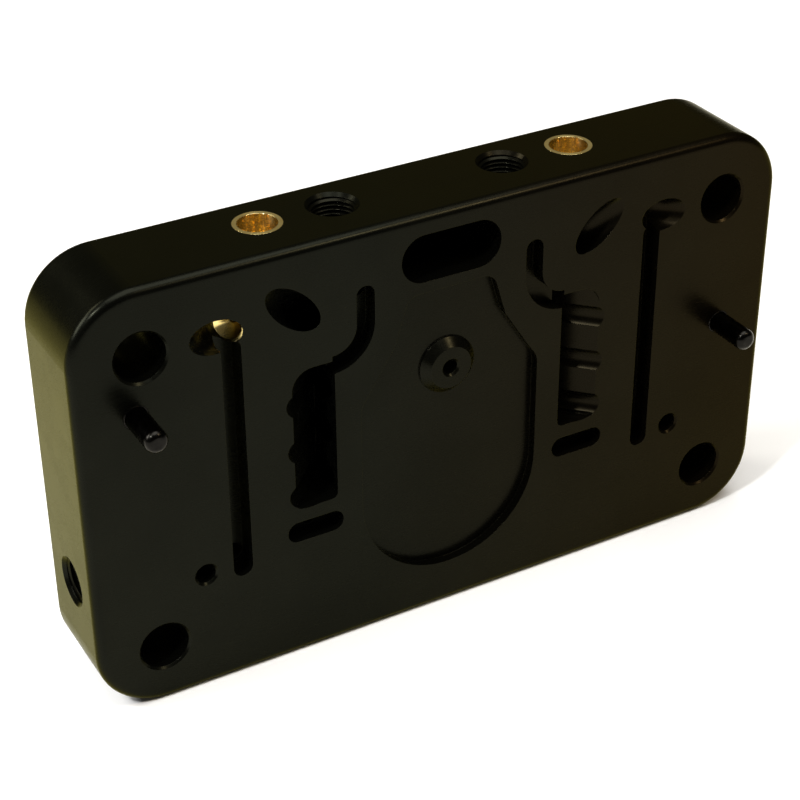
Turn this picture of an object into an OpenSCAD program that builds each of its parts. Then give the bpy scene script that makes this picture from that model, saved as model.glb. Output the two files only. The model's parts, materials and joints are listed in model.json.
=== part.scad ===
// Mounting block: a machined manifold plate that stands on its long edge.
// Origin: centre of the bottom edge face. +X to the right, +Y to the back, +Z up.
// The working face, with the channels and the locating pins, looks towards -Y.

/* [Block] */
// Width of the block, left to right
block_w = 170; // [168:1:180]
// Height of the block
block_h = 100; // [98:1:104]
// Thickness, front face to back face
block_t = 25; // [24:0.5:30]
// Radius of the four corners, seen from the front
corner_r = 15; // [12:1:16]
// Radius that breaks the front and back edges
edge_r = 2; // [1:0.5:3]

/* [Corner bolt holes] */
// Distance between the holes, left to right
bolt_pitch_w = 140; // [138:1:142]
// Distance between the holes, bottom to top
bolt_pitch_h = 71; // [68:1:72]
// Height of the lower holes
bolt_low_z = 14; // [13:0.5:15]
// Diameter of the through holes
bolt_hole_d = 11; // [9:0.5:11]

/* [Locating pins] */
// Distance of each pin from the middle of the block
pin_x = 72; // [71:0.5:74]
// Height of the left pin
pin_left_z = 72; // [70:0.5:73]
// Height of the right pin
pin_right_z = 53; // [50:0.5:60]
// Diameter of the pins
pin_d = 5; // [4:0.5:6]
// Length that stands out of the front face
pin_nose_len = 11; // [6:0.5:12]

/* [Ports] */
// Distance of the brass-sleeved top ports from the middle
bush_x = 37.5; // [36:0.5:39]
// Distance of the plain top ports from the middle
plain_x = 20.5; // [20:0.5:21]
// Depth of the top ports' centre line behind the front face
port_depth_y = 14; // [13:0.5:15]
// Outside diameter of the brass bushes
bush_d = 10.5; // [10:0.5:11]
// Bore of the brass bushes
bush_bore_d = 8.5; // [8:0.5:8.5]
// Major diameter of the threads in the plain ports
thread_d = 10; // [8:0.5:10]
// Height of the side ports' centre line
side_z = 29; // [28:0.5:31]
// Depth of the side ports' centre line behind the front face
side_depth_y = 12; // [11:0.5:13]

/* [Channels] */
// Distance of the straight upright channels from the middle
slot_x = 51; // [50:0.5:52]
// Width of the straight upright channels
slot_w = 4.5; // [4:0.5:5]
// Depth of the straight upright channels
slot_depth = 5; // [4:0.5:6]
// Depth of the curved channels and the short level slots
channel_depth = 4; // [3:0.5:5]

/* [Centre] */
// Width of the centre pocket
pocket_w = 44; // [40:1:46]
// Depth of the centre pocket
pocket_depth = 2.2; // [2:0.1:3]
// Diameter of the boss in the centre pocket
boss_d = 13.5; // [12:0.5:15]
// Width of the deep slot above the centre pocket
window_w = 24; // [20:1:26]
// Height of the deep slot
window_h = 11; // [9:0.5:11]
// Depth of the deep slot
window_depth = 15; // [10:0.5:18]

/* [Hidden] */
$fn = 96;

front_y = -block_t / 2;
over = 1;              // how far a cut runs past the face it starts from
mouth_chamfer = 0.5;   // edge break round the plain hole mouths
port_chamfer = 0.75;   // countersink of the ports
drill_point = 59;      // half the angle of a drill's point

// top ports
port_y = front_y + port_depth_y;
thread_len = 12;
passage_d = 7;         // drilling that goes on below a port
bush_len = 14;
bush_floor_len = 5;    // length of the thicker, grooved lower end
bush_floor_bore_d = 6;
plain_passage_d = 8;
plain_passage_z = 38;  // where the drilling below a plain port ends
bush_passage_z = 82;   // where the drilling below a bush ends
side_passage_x = 47;   // where the drilling behind a side port ends

// O-ring and its groove round a bush
seal_section_d = 1.3;
seal_clearance = 0.025;
seal_centre_r = bush_d / 2 - seal_clearance - seal_section_d / 2;
groove_w = 1.8;
groove_z = 1.6;        // height of the groove's lower side above the end of the bush

// upright channels
slot_bottom_z = 25.75;
slot_top_z = 83.5;
slot_drop_d = 4;       // hole from a channel's lower end to the side drilling
tap_x = 59.5;          // small hole beside a channel's lower end
tap_d = 4.5;

// angled drillings from the top of a channel to the passage below a bush
link_x = 54;
link_z = 85;
link_d = 7.5;
link_angle = atan2(port_depth_y, link_x - bush_x);
link_len = norm([port_depth_y, link_x - bush_x]) + passage_d / 2;
link_run_in = 8;       // length of an angled cut outside the front face

// brass jets in the angled drillings
jet_start = 5.3;       // distance along the drilling from the front face
jet_len = 8;
jet_orifice_d = 1.6;
jet_back_bore_d = 4.5;
jet_cone_r = 3.1;
jet_cone_len = 2.4;

// sloping drillings from the front face to the passages below the plain ports
slope_x = 37;
slope_z = 86.5;
slope_d = 7.5;
slope_in = 30;         // angle from the front face
slope_down = 42;       // angle below the level, in the front face
slope_len = (port_depth_y - 1) / sin(slope_in);
slope_run_in = 10;

// curved channels
curve_w = 4.3;
curve_r = 8;
curve_top_z = 87.5;
curve_z = 79;          // height of the bend's centre
curve_drop_d = 4;

// sloping recesses: the outer wall leans in at 45 degrees to meet an upright inner wall.
// Three drillings run down the sloping wall to the passage below the plain port.
recess_in_x = 28;
recess_out_x = 38;
recess_bottom_z = 38;
recess_top_z = 72;
recess_top_r = 5;
recess_r = 1.5;
fan_x = plain_x + port_depth_y;
fan_mid_z = 52.5;
fan_pitch = 11.25;
fan_d = 7;
fan_angle = 45;
fan_len = port_depth_y / sin(fan_angle);

// short level slots below the recesses
short_x = 33.5;
short_z = 32.2;
short_len = 13.4;
short_w = 5;
short_drop_d = 3;
short_drop_len = 9;

// centre pocket: a round-ended body, sloping shoulders and a tapering neck
pocket_round_z = 33;
pocket_shoulder_z = 62;
pocket_shoulder_r = 5;
neck_base_w = 27;
neck_base_z = 71.5;
neck_top_w = 22.5;
neck_top_z = 82;
neck_r = 3.5;
boss_z = 62;
boss_chamfer = 1.8;
boss_hole_d = 3.4;
boss_hole_len = 12;

// deep slot above the pocket
window_z = 90;

// locating pins
pin_shank_d = pin_d + 0.5;  // pressed in, thicker than the part that stands out
pin_shank_len = 10;
pin_sunk = 0.1;        // how far the shank's shoulder lies behind the front face
pin_hole_len = pin_shank_len + pin_sunk;
pin_tip_r = 1.5;

module both_sides() {
    children();
    mirror([1, 0, 0]) children();
}

// ---- flat outlines, drawn in the plane of the front face (x, z) ----

module round_rect(w, h, r) {
    square([w - 2 * r, h], center = true);
    square([w, h - 2 * r], center = true);
    for (x = [-1, 1], y = [-1, 1])
        translate([x * (w / 2 - r), y * (h / 2 - r)]) circle(r);
}

// a slot with round ends between the points a and b, level or upright
module slot_outline(a, b, w) {
    size = b - a;
    across = size[0] == 0 ? [w, 0] : [0, w];
    translate(a) circle(d = w);
    translate(b) circle(d = w);
    translate(a - across / 2) square(size + across);
}

// points of an arc round c, from angle a0 to angle a1
function arc(c, r, a0, a1, steps = 12) =
    [for (i = [0:steps]) c + r * [cos(a0 + (a1 - a0) * i / steps), sin(a0 + (a1 - a0) * i / steps)]];

function mirrored(points) = [for (i = [len(points) - 1:-1:0]) [-points[i][0], points[i][1]]];

// right half of the pocket above its round lower end, from the bottom up
function pocket_side() =
    let (half = pocket_w / 2)
    let (neck_lean = atan2((neck_base_w - neck_top_w) / 2, neck_top_z - neck_base_z))
    concat(
        [[half, pocket_round_z]],
        arc([half - pocket_shoulder_r, pocket_shoulder_z - pocket_shoulder_r], pocket_shoulder_r, 0, 45),
        [[neck_base_w / 2, neck_base_z]],
        arc([neck_top_w / 2 - neck_r, neck_top_z - neck_r], neck_r, neck_lean, 90)
    );

module pocket_outline() {
    translate([0, pocket_round_z]) circle(d = pocket_w);
    polygon(concat(pocket_side(), mirrored(pocket_side())));
}

module recess_outline() {
    polygon(concat(
        arc([recess_in_x + recess_r, recess_bottom_z + recess_r], recess_r, 180, 270, 6),
        arc([recess_out_x - recess_r, recess_bottom_z + recess_r], recess_r, 270, 360, 6),
        arc([recess_out_x - recess_top_r, recess_top_z - recess_top_r], recess_top_r, 0, 90),
        [[recess_in_x, recess_top_z]]
    ));
}

// upright leg from the plain port's line, then a quarter bend into the recess
module curve_outline() {
    slot_outline([plain_x, curve_z], [plain_x, curve_top_z - curve_w / 2], curve_w);
    translate([plain_x + curve_r, curve_z])
        intersection() {
            difference() {
                circle(curve_r + curve_w / 2);
                circle(curve_r - curve_w / 2);
            }
            translate([-2 * curve_r, -2 * curve_r]) square(2 * curve_r);
        }
}

// ---- cuts ----

// cuts the flat outline below it into the front face
module front_cut(depth) {
    translate([0, front_y + depth, 0])
        rotate([90, 0, 0]) linear_extrude(depth + over) children();
}

// a drilled hole along +Z from z = -run_in, with a drill point at its end
module drilling(d, len, run_in = over) {
    translate([0, 0, -run_in]) cylinder(h = run_in + len, d = d);
    translate([0, 0, len]) cylinder(h = d / 2 / tan(drill_point), d1 = d, d2 = 0);
}

// a countersink round a hole's mouth, along +Z from the face
module countersink(d, c) {
    translate([0, 0, -over]) cylinder(h = over, d = d + 2 * c);
    cylinder(h = c, d1 = d + 2 * c, d2 = d);
}

// puts a cut made along +Z at a place on the front face, going straight in
module at_front(x, z) {
    translate([x, front_y, z]) rotate([-90, 0, 0]) children();
}

// the same, leaning towards the middle of the block at an angle from the face, and downwards
module leaning(x, z, angle, down = 0) {
    translate([x, front_y, z])
        rotate([0, -down, 0]) rotate([0, 0, 90 - angle]) rotate([-90, 0, 0]) children();
}

module at_top(x) {
    translate([x, port_y, block_h]) rotate([180, 0, 0]) children();
}

module at_side() {
    translate([block_w / 2, front_y + side_depth_y, side_z]) rotate([0, -90, 0]) children();
}

// a threaded port, its thread left smooth at the major diameter, and the drilling behind it
module threaded_port(through_d, through_len) {
    drilling(thread_d, thread_len);
    countersink(thread_d, port_chamfer);
    drilling(through_d, through_len);
}

module corner_bolt_holes() {
    for (x = [-1, 1], z = [0, 1])
        translate([x * bolt_pitch_w / 2, 0, bolt_low_z + z * bolt_pitch_h])
            for (face = [0, 180])
                rotate([0, 0, face]) translate([0, front_y, 0]) rotate([-90, 0, 0]) {
                    translate([0, 0, -over]) cylinder(h = block_t / 2 + 2 * over, d = bolt_hole_d);
                    countersink(bolt_hole_d, mouth_chamfer);
                }
}

module bush_ports() {
    at_top(bush_x) {
        translate([0, 0, -over]) cylinder(h = bush_len + over, d = bush_d);
        drilling(passage_d, block_h - bush_passage_z);
    }
    leaning(link_x, link_z, link_angle) drilling(link_d, link_len, link_run_in);
}

module plain_ports() {
    at_top(plain_x) threaded_port(plain_passage_d, block_h - plain_passage_z);
    leaning(slope_x, slope_z, slope_in, slope_down) drilling(slope_d, slope_len, slope_run_in);
    at_front(plain_x, curve_top_z - curve_w / 2)
        cylinder(h = port_depth_y, d = curve_drop_d);
}

module side_ports() {
    at_side() threaded_port(passage_d, block_w / 2 - side_passage_x);
    at_front(slot_x, side_z) cylinder(h = side_depth_y, d = slot_drop_d);
    at_front(tap_x, side_z) {
        translate([0, 0, -over]) cylinder(h = side_depth_y + over, d = tap_d);
        countersink(tap_d, mouth_chamfer);
    }
}

module side_channels() {
    short_half = (short_len - short_w) / 2;
    front_cut(slot_depth)
        slot_outline([slot_x, slot_bottom_z + slot_w / 2], [slot_x, slot_top_z - slot_w / 2], slot_w);
    front_cut(channel_depth) {
        curve_outline();
        slot_outline([short_x - short_half, short_z], [short_x + short_half, short_z], short_w);
    }
    at_front(short_x, short_z) drilling(short_drop_d, short_drop_len);
}

// wedge-shaped recess and the drillings along its sloping wall
module sloping_recess() {
    width = recess_out_x - recess_in_x;
    depth = width * tan(fan_angle);
    intersection() {
        front_cut(depth) recess_outline();
        translate([recess_in_x, front_y, 0]) linear_extrude(block_h)
            polygon([[-over, depth], [0, depth], [width, 0], [width + over, -over], [-over, -over]]);
    }
    for (i = [-1:1])
        leaning(fan_x, fan_mid_z + i * fan_pitch, fan_angle) drilling(fan_d, fan_len, link_run_in);
}

// the round boss that the pocket leaves standing, flush with the front face
module boss() {
    at_front(0, boss_z) {
        cylinder(h = boss_chamfer, d1 = boss_d - 2 * boss_chamfer, d2 = boss_d);
        translate([0, 0, boss_chamfer]) cylinder(h = pocket_depth, d = boss_d);
    }
}

module centre_pocket() {
    difference() {
        front_cut(pocket_depth) pocket_outline();
        boss();
    }
    at_front(0, boss_z) {
        drilling(boss_hole_d, boss_hole_len);
        countersink(boss_hole_d, mouth_chamfer);
    }
}

module deep_slot() {
    half = (window_w - window_h) / 2;
    front_cut(window_depth) slot_outline([-half, window_z], [half, window_z], window_h);
}

module pin_holes() {
    for (place = [[-pin_x, pin_left_z], [pin_x, pin_right_z]])
        at_front(place[0], place[1])
            translate([0, 0, -over]) cylinder(h = pin_hole_len + over, d = pin_shank_d);
}

// ---- the pieces ----

// a slab with round corners and rounded front and back edges, centred on y = 0
module slab() {
    level = block_w - 2 * corner_r;
    upright = block_h - 2 * corner_r;
    translate([0, 0, block_h / 2]) {
        rotate([90, 0, 90]) linear_extrude(level, center = true) round_rect(block_t, block_h, edge_r);
        linear_extrude(upright, center = true) round_rect(block_w, block_t, edge_r);
        for (x = [-1, 1], z = [-1, 1])
            translate([x * level / 2, 0, z * upright / 2])
                rotate([90, 0, 0]) rotate_extrude()
                    intersection() {
                        round_rect(2 * corner_r, block_t, edge_r);
                        translate([0, -block_t]) square([2 * corner_r, 2 * block_t]);
                    }
    }
}

module block_body() {
    color("#1d1d18")
        difference() {
            slab();
            corner_bolt_holes();
            centre_pocket();
            deep_slot();
            pin_holes();
            both_sides() {
                bush_ports();
                plain_ports();
                side_ports();
                side_channels();
                sloping_recess();
            }
        }
}

// thin-walled brass sleeve, with a thicker grooved end at the bottom
module port_bush(side) {
    groove_r = seal_centre_r - seal_section_d / 2 - seal_clearance;
    color("goldenrod")
        translate([side * bush_x, port_y, block_h - bush_len])
            difference() {
                cylinder(h = bush_len, d = bush_d);
                translate([0, 0, bush_floor_len]) cylinder(h = bush_len, d = bush_bore_d);
                translate([0, 0, -over]) cylinder(h = bush_len, d = bush_floor_bore_d);
                translate([0, 0, groove_z])
                    rotate_extrude() translate([groove_r, 0]) square([bush_d, groove_w]);
            }
}

module bush_seal(side) {
    color("#202020")
        translate([side * bush_x, port_y, block_h - bush_len + groove_z + groove_w / 2])
            rotate_extrude() translate([seal_centre_r, 0]) circle(d = seal_section_d);
}

// brass jet with a conical mouth, a small orifice and a wider bore behind it
module jet(side) {
    color("gold")
        mirror([side < 0 ? 1 : 0, 0, 0])
            leaning(link_x, link_z, link_angle)
                translate([0, 0, jet_start])
                    difference() {
                        cylinder(h = jet_len, d = link_d);
                        translate([0, 0, -over]) cylinder(h = jet_len + 2 * over, d = jet_orifice_d);
                        cylinder(h = jet_cone_len, r1 = jet_cone_r, r2 = jet_orifice_d / 2);
                        translate([0, 0, jet_len / 2]) cylinder(h = jet_len, d = jet_back_bore_d);
                    }
}

// ground pin, its shank pressed into the block, with a rounded nose that stands out in front
module dowel(x, z) {
    pin_len = pin_hole_len + pin_nose_len;
    color("#303030")
        translate([x, front_y + pin_hole_len, z])
            rotate([90, 0, 0]) rotate_extrude() {
                square([pin_shank_d / 2, pin_shank_len]);
                square([pin_d / 2, pin_len - pin_tip_r]);
                square([pin_d / 2 - pin_tip_r, pin_len]);
                translate([pin_d / 2 - pin_tip_r, pin_len - pin_tip_r])
                    intersection() {
                        circle(pin_tip_r);
                        square(pin_tip_r);
                    }
            }
}

block_body();
port_bush(-1);  // port_bush_left
port_bush(1);  // port_bush_right
bush_seal(-1);  // bush_seal_left
bush_seal(1);  // bush_seal_right
jet(-1);  // jet_left
jet(1);  // jet_right
dowel(-pin_x, pin_left_z);  // dowel_left
dowel(pin_x, pin_right_z);  // dowel_right
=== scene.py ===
"""Looks of the mounting block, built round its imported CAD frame.

The CAD nodes stay as they are and get procedural materials. The thread ridges of the four
threaded ports are the only new pieces. Lengths are in metres, in the frame of the CAD.
"""

import json
import math

import bmesh
import bpy
from mathutils import Matrix, Vector


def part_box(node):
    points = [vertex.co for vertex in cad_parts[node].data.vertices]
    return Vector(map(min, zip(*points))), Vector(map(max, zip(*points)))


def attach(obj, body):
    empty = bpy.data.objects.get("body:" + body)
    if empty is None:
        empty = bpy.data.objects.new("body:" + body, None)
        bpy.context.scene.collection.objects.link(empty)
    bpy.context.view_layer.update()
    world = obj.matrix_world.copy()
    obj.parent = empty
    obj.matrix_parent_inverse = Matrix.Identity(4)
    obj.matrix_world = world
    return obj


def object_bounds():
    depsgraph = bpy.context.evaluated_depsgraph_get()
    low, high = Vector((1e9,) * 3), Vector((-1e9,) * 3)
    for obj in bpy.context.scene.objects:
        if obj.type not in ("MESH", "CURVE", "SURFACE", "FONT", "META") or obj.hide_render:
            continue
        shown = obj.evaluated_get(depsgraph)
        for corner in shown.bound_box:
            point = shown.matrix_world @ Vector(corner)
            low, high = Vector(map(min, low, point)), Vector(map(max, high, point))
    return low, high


MM = 0.001

# Painted light: the block's colour fades from olive to brown along X as a warm cast, in place of warm
# light falling from the right.
PAINTED_WARM_FROM_X = -0.02  # where the block starts to turn from olive to brown
PAINTED_WARM_FULL_X = 0.085
RING_WAVES = 26000  # radians to the metre, so 0.24 mm from one turning ring to the next
FLOOR_HALF = 6.0

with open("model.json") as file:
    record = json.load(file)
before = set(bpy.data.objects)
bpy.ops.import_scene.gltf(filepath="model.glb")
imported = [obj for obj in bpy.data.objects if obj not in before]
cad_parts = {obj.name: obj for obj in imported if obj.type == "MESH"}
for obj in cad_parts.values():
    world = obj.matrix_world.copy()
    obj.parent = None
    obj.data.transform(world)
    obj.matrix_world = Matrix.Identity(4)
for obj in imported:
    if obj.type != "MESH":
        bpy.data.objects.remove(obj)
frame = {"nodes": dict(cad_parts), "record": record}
cad_low, cad_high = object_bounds()
mounts = {mount["name"]: mount for mount in frame["record"]["mounts"]}


# ---- materials ----


class Shader:
    """A node material built round one Principled BSDF."""

    def __init__(self, name, **values):
        self.material = bpy.data.materials.new(name)
        self.material.use_nodes = True
        self.tree = self.material.node_tree
        self.bsdf = self.tree.nodes["Principled BSDF"]
        for socket, value in values.items():
            self.bsdf.inputs[socket.replace("_", " ")].default_value = value
        self.place = self.add("ShaderNodeTexCoord").outputs["Object"]

    def add(self, kind, **settings):
        """Adds a node. A setting is one of its properties, and inputs its sockets by name or number."""
        node = self.tree.nodes.new(kind)
        inputs = settings.pop("inputs", {})
        for name, value in settings.items():
            setattr(node, name, value)
        for socket, value in inputs.items():
            if isinstance(value, bpy.types.NodeSocket):
                self.tree.links.new(value, node.inputs[socket])
            else:
                node.inputs[socket].default_value = value
        return node

    def link(self, output, socket):
        self.tree.links.new(output, self.bsdf.inputs[socket])

    def stretched(self, scale, shift=(0, 0, 0)):
        """The place on the object, moved by shift and then scaled along each axis."""
        moved = self.add(
            "ShaderNodeVectorMath", operation="SUBTRACT", inputs={0: self.place, 1: shift}
        )
        grown = self.add(
            "ShaderNodeVectorMath", operation="MULTIPLY", inputs={0: moved.outputs[0], 1: scale}
        )
        return grown.outputs[0]

    def noise(self, scale, detail=2.0, roughness=0.5, place=None):
        """Noise from 0 to 1, with scale spots to the metre."""
        inputs = {
            "Vector": place or self.place,
            "Scale": scale,
            "Detail": detail,
            "Roughness": roughness,
        }
        return self.add("ShaderNodeTexNoise", inputs=inputs).outputs["Fac"]

    def spread(self, value, low, high, to_low=0.0, to_high=1.0):
        """Value from low to high, mapped to the range to_low to to_high and held there."""
        inputs = {
            "Value": value,
            "From Min": low,
            "From Max": high,
            "To Min": to_low,
            "To Max": to_high,
        }
        return self.add("ShaderNodeMapRange", inputs=inputs).outputs["Result"]

    def maths(self, operation, a, b=0.0):
        return self.add("ShaderNodeMath", operation=operation, inputs={0: a, 1: b}).outputs[0]

    def mixed(self, factor, a, b):
        """Colour a where factor is 0 and colour b where it is 1."""
        node = self.add("ShaderNodeMix", data_type="RGBA")
        for socket, value in (("Factor_Float", factor), ("A_Color", a), ("B_Color", b)):
            target = next(s for s in node.inputs if s.identifier == socket)
            if isinstance(value, bpy.types.NodeSocket):
                self.tree.links.new(value, target)
            else:
                target.default_value = value
        return next(s for s in node.outputs if s.identifier == "Result_Color")

    def bump(self, height, distance, strength=1.0, normal=None):
        inputs = {"Height": height, "Distance": distance, "Strength": strength}
        if normal is not None:
            inputs["Normal"] = normal
        return self.add("ShaderNodeBump", inputs=inputs).outputs["Normal"]

    def softened_edges(self, radius):
        """A normal that rounds every edge by radius, and how much of an edge each point is."""
        rounded = self.add("ShaderNodeBevel", samples=6, inputs={"Radius": radius})
        plain = self.add("ShaderNodeNewGeometry").outputs["Normal"]
        both = {0: rounded.outputs[0], 1: plain}
        same = self.add("ShaderNodeVectorMath", operation="DOT_PRODUCT", inputs=both)
        return rounded.outputs[0], self.spread(same.outputs["Value"], 1.0, 0.8)


def colour(red, green, blue):
    return (red, green, blue, 1.0)


def black_anodised():
    """Satin black anodised aluminium, olive on the left, with painted warm light that turns it brown
    towards the right.
    """
    shader = Shader(
        "black_anodised",
        Metallic=0.85,
        Specular_IOR_Level=0.1,
        Specular_Tint=colour(0.66, 0.63, 0.42),
    )
    clouds = shader.noise(38, detail=4)
    grain = shader.noise(2600, detail=2)
    lines = shader.noise(1, detail=3, place=shader.stretched((60, 2600, 2600)))
    smudges = shader.noise(95, detail=5, roughness=0.65)
    rounded, edge = shader.softened_edges(0.12 * MM)
    across = shader.add("ShaderNodeSeparateXYZ", inputs={0: shader.place}).outputs["X"]
    olive = shader.mixed(
        shader.spread(clouds, 0.35, 0.65),
        colour(0.0064, 0.0068, 0.0050),
        colour(0.0078, 0.0082, 0.0059),
    )
    # Painted light: this brown is a warm cast that stands in for warm light from the right, faded in
    # along X below.
    painted_warm_brown = shader.mixed(
        shader.spread(clouds, 0.35, 0.65),
        colour(0.0084, 0.0056, 0.0024),
        colour(0.0096, 0.0066, 0.0029),
    )
    body = shader.mixed(shader.spread(across, PAINTED_WARM_FROM_X, PAINTED_WARM_FULL_X), olive, painted_warm_brown)
    worn_here = shader.maths("MULTIPLY", edge, shader.spread(smudges, 0.45, 0.7, 0.15, 0.6))
    shader.link(shader.mixed(worn_here, body, colour(0.030, 0.028, 0.020)), "Base Color")
    haze = shader.spread(smudges, 0.35, 0.75, 0.25, 0.31)
    streaks = shader.spread(lines, 0.3, 0.7, -0.02, 0.02)
    shader.link(shader.maths("ADD", haze, streaks), "Roughness")
    blasted = shader.bump(grain, 0.0035 * MM, 0.6, rounded)
    shader.link(shader.bump(lines, 0.002 * MM, 0.5, blasted), "Normal")
    return shader.material


def turned_brass(name, centre, ring_scale):
    """Bright brass with fine rings round centre and highlights drawn out along Z.

    ring_scale weighs the X, Y and Z distances from centre: with 0 for Z the rings are round the
    upright axis, and with 1 for all three they are shells.
    """
    shader = Shader(
        name,
        Metallic=1.0,
        Specular_Tint=colour(1.0, 0.95, 0.8),
        Anisotropic=0.85,
        Anisotropic_Rotation=0.25,
    )
    round_upright = shader.add("ShaderNodeTangent", direction_type="RADIAL", axis="Z")
    shader.link(round_upright.outputs["Tangent"], "Tangent")
    about = shader.stretched(ring_scale, centre)
    rings = shader.add("ShaderNodeVectorMath", operation="LENGTH", inputs={0: about})
    feed = shader.noise(1, detail=2, place=shader.stretched((90, 90, 9000)))
    radial = shader.maths("SINE", shader.maths("MULTIPLY", rings.outputs["Value"], RING_WAVES))
    stain = shader.noise(420, detail=4, roughness=0.6)
    gold = shader.mixed(
        shader.spread(stain, 0.35, 0.7),
        colour(0.98, 0.79, 0.33),
        colour(0.94, 0.70, 0.23),
    )
    rounded, edge = shader.softened_edges(0.12 * MM)
    shader.link(shader.mixed(edge, gold, colour(1.0, 0.84, 0.42)), "Base Color")
    shader.link(shader.spread(stain, 0.3, 0.8, 0.16, 0.28), "Roughness")
    turned = shader.bump(radial, 0.0012 * MM, 0.4, rounded)
    shader.link(shader.bump(feed, 0.003 * MM, 0.5, turned), "Normal")
    return shader.material


def blackened_steel():
    """Ground steel pins with a glossy black oxide finish, a little bare at the tip's edge."""
    shader = Shader("blackened_steel", Metallic=1.0, Specular_Tint=colour(1.0, 0.98, 0.9))
    rub = shader.noise(700, detail=4, roughness=0.6)
    ground = shader.noise(1, detail=2, place=shader.stretched((300, 12000, 300)))
    rounded, edge = shader.softened_edges(0.2 * MM)
    oxide = shader.mixed(
        shader.spread(rub, 0.35, 0.7), colour(0.009, 0.0085, 0.0075), colour(0.015, 0.014, 0.012)
    )
    bare = shader.maths("MULTIPLY", edge, shader.spread(rub, 0.4, 0.6, 0.2, 0.8))
    shader.link(shader.mixed(bare, oxide, colour(0.05, 0.046, 0.04)), "Base Color")
    shader.link(shader.spread(rub, 0.3, 0.8, 0.2, 0.3), "Roughness")
    shader.link(shader.bump(ground, 0.002 * MM, 0.5, rounded), "Normal")
    return shader.material


def seal_rubber():
    """Dull black moulded rubber."""
    shader = Shader("seal_rubber", Specular_IOR_Level=0.35)
    bloom = shader.noise(900, detail=4)
    pores = shader.noise(6000, detail=2)
    grey = shader.mixed(
        shader.spread(bloom, 0.3, 0.7), colour(0.012, 0.012, 0.012), colour(0.028, 0.028, 0.027)
    )
    shader.link(grey, "Base Color")
    shader.link(shader.spread(bloom, 0.3, 0.7, 0.55, 0.75), "Roughness")
    shader.link(shader.bump(pores, 0.01 * MM, 0.4), "Normal")
    return shader.material


def paint(obj, material):
    obj.data.materials.clear()
    obj.data.materials.append(material)


def middle(node):
    low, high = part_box(node)
    return (low + high) / 2


anodised = black_anodised()
steel = blackened_steel()
rubber = seal_rubber()
paint(frame["nodes"]["block_body"], anodised)
for side in ("left", "right"):
    paint(frame["nodes"]["dowel_" + side], steel)
    paint(frame["nodes"]["bush_seal_" + side], rubber)
    for piece, ring_scale in (("port_bush_", (1, 1, 0)), ("jet_", (1, 1, 1))):
        node = piece + side
        paint(frame["nodes"][node], turned_brass("brass_" + node, middle(node), ring_scale))


# ---- thread ridges in the threaded ports ----

THREAD_PITCH = 1.0 * MM
THREAD_DEPTH = 0.54 * MM
THREAD_ROOT_SHARE = 0.44  # half the ridge's width at its foot, as a share of the pitch
THREAD_CREST_SHARE = 0.07  # the same at its crest
THREAD_SUNK = 0.03 * MM  # how far the ridge's foot lies in the wall
THREAD_STEPS = 60  # to each turn
THREAD_RUN_OUT = 0.5  # turns over which the ridge fades at its ends
THREAD_LEAST = 0.02  # share of the depth that is left at the very ends


def thread_ridge(name, radius, length):
    """A helical ridge on the wall of a hole that runs down the local -Z axis from z = 0."""
    turns = length / THREAD_PITCH
    count = round(turns * THREAD_STEPS)
    mesh = bmesh.new()
    rings = []
    for i in range(count + 1):
        turn = turns * i / count
        angle = 2 * math.pi * turn
        fade = min(1.0, turn / THREAD_RUN_OUT, (turns - turn) / THREAD_RUN_OUT)
        crest = radius - THREAD_DEPTH * max(fade, THREAD_LEAST)
        foot = radius + THREAD_SUNK
        half_foot = THREAD_ROOT_SHARE * THREAD_PITCH
        half_crest = THREAD_CREST_SHARE * THREAD_PITCH
        profile = (
            (foot, half_foot),
            (crest, half_crest),
            (crest, -half_crest),
            (foot, -half_foot),
        )
        depth = -turn * THREAD_PITCH
        rings.append(
            [
                mesh.verts.new((r * math.cos(angle), r * math.sin(angle), depth + z))
                for r, z in profile
            ]
        )
    sides = len(rings[0])
    for near, far in zip(rings, rings[1:]):
        for k in range(sides):
            m = (k + 1) % sides
            mesh.faces.new((near[k], near[m], far[m], far[k]))
    mesh.faces.new(rings[0])
    mesh.faces.new(rings[-1][::-1])
    bmesh.ops.recalc_face_normals(mesh, faces=mesh.faces)
    data = bpy.data.meshes.new(name)
    mesh.to_mesh(data)
    mesh.free()
    ridge = bpy.data.objects.new(name, data)
    bpy.context.scene.collection.objects.link(ridge)
    return ridge


for port in ("plain_port_left", "plain_port_right", "side_port_left", "side_port_right"):
    mount = mounts[port]
    axis = Vector(mount["axis"])
    radius = mount["dims"]["r_mm"] * MM
    length = mount["dims"]["length_mm"] * MM
    ridge = thread_ridge("thread_" + port, radius, length - 2 * THREAD_PITCH)
    turned = axis.to_track_quat("Z", "Y").to_matrix().to_4x4()
    on_face = Vector(mount["pos_m"]) + axis * (length / 2 - THREAD_PITCH / 2)
    ridge.matrix_world = Matrix.Translation(on_face) @ turned
    paint(ridge, anodised)
    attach(ridge, "root")


# ---- floor, light and camera ----


def floor():
    """A large plain pale sheet under the block."""
    shader = Shader("pale_floor")
    mottle = shader.noise(30, detail=3)
    pale = shader.mixed(
        shader.spread(mottle, 0.3, 0.7), colour(0.94, 0.94, 0.94), colour(0.96, 0.96, 0.96)
    )
    shader.link(pale, "Base Color")
    shader.link(shader.spread(mottle, 0.3, 0.7, 0.6, 0.7), "Roughness")
    half = FLOOR_HALF
    data = bpy.data.meshes.new("floor")
    corners = [(-half, -half, 0), (half, -half, 0), (half, half, 0), (-half, half, 0)]
    data.from_pydata(corners, [], [(0, 1, 2, 3)])
    obj = bpy.data.objects.new("floor", data)
    obj.location.z = cad_low.z
    bpy.context.scene.collection.objects.link(obj)
    paint(obj, shader.material)


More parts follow.
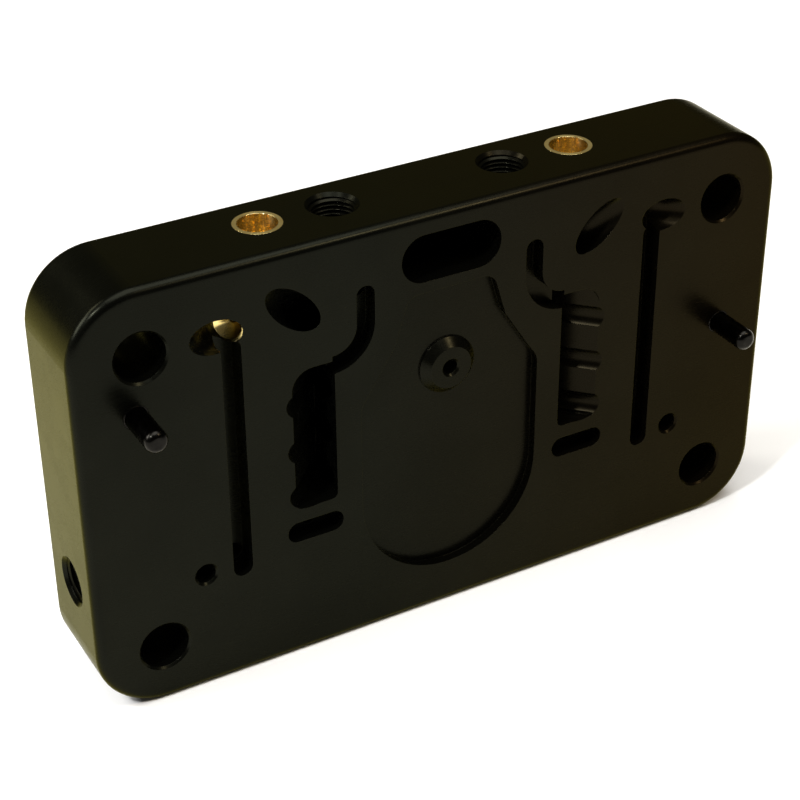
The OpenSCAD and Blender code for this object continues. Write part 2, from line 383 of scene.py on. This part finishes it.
def area_light(name, place, size, power, tint=(1.0, 1.0, 1.0), target=(0.0, 0.0, 0.05)):
    """A square soft light at place, facing the target."""
    data = bpy.data.lights.new(name, "AREA")
    data.shape = "SQUARE"
    data.size = size
    data.energy = power
    data.color = tint
    obj = bpy.data.objects.new(name, data)
    obj.location = place
    facing = Vector(target) - Vector(place)
    obj.rotation_mode = "QUATERNION"
    obj.rotation_quaternion = facing.to_track_quat("-Z", "Y")
    bpy.context.scene.collection.objects.link(obj)


def surroundings(level):
    """The dim, warm grey room round the studio."""
    world = bpy.data.worlds.new("studio")
    world.use_nodes = True
    background = world.node_tree.nodes["Background"]
    background.inputs["Color"].default_value = colour(1.0, 0.97, 0.88)
    background.inputs["Strength"].default_value = level
    bpy.context.scene.world = world


def camera(place, look, up, lens):
    """The camera at place, looking along look with up at the top of the picture."""
    data = bpy.data.cameras.new("camera")
    data.lens = lens
    data.sensor_width = 36.0
    data.clip_start = 0.01
    data.clip_end = 50.0
    obj = bpy.data.objects.new("camera", data)
    back = -Vector(look).normalized()
    right = Vector(up).cross(back).normalized()
    top = back.cross(right)
    turn = Matrix((right, top, back)).transposed().to_4x4()
    obj.matrix_world = Matrix.Translation(place) @ turn
    bpy.context.scene.collection.objects.link(obj)
    bpy.context.scene.camera = obj


floor()
surroundings(0.07)
area_light("key_left_back", (-0.9, 1.0, 1.3), 0.5, 8, tint=(1.0, 0.96, 0.86))
area_light("overhead", (0.1, -0.2, 1.8), 1.4, 30)
area_light("high_left", (-1.2, -0.5, 1.57), 0.16, 20)
area_light("edge_front_right", (0.62, -0.75, 1.1), 0.2, 4.5, tint=(1.0, 0.84, 0.6))
area_light("top_sheen", (0.62, 1.1, 0.85), 0.8, 0.3, tint=(1.0, 0.94, 0.8))
area_light("floor_left", (-0.20, 0.04, 0.16), 0.08, 0.25, target=(-0.11, 0.04, 0.0))
camera(
    place=(-0.1870, -0.3241, 0.2792),
    look=(0.4150, 0.7417, -0.5270),
    up=(0.2633, 0.4565, 0.8498),
    lens=88.9,
)
bpy.context.scene.view_settings.view_transform = "Standard"
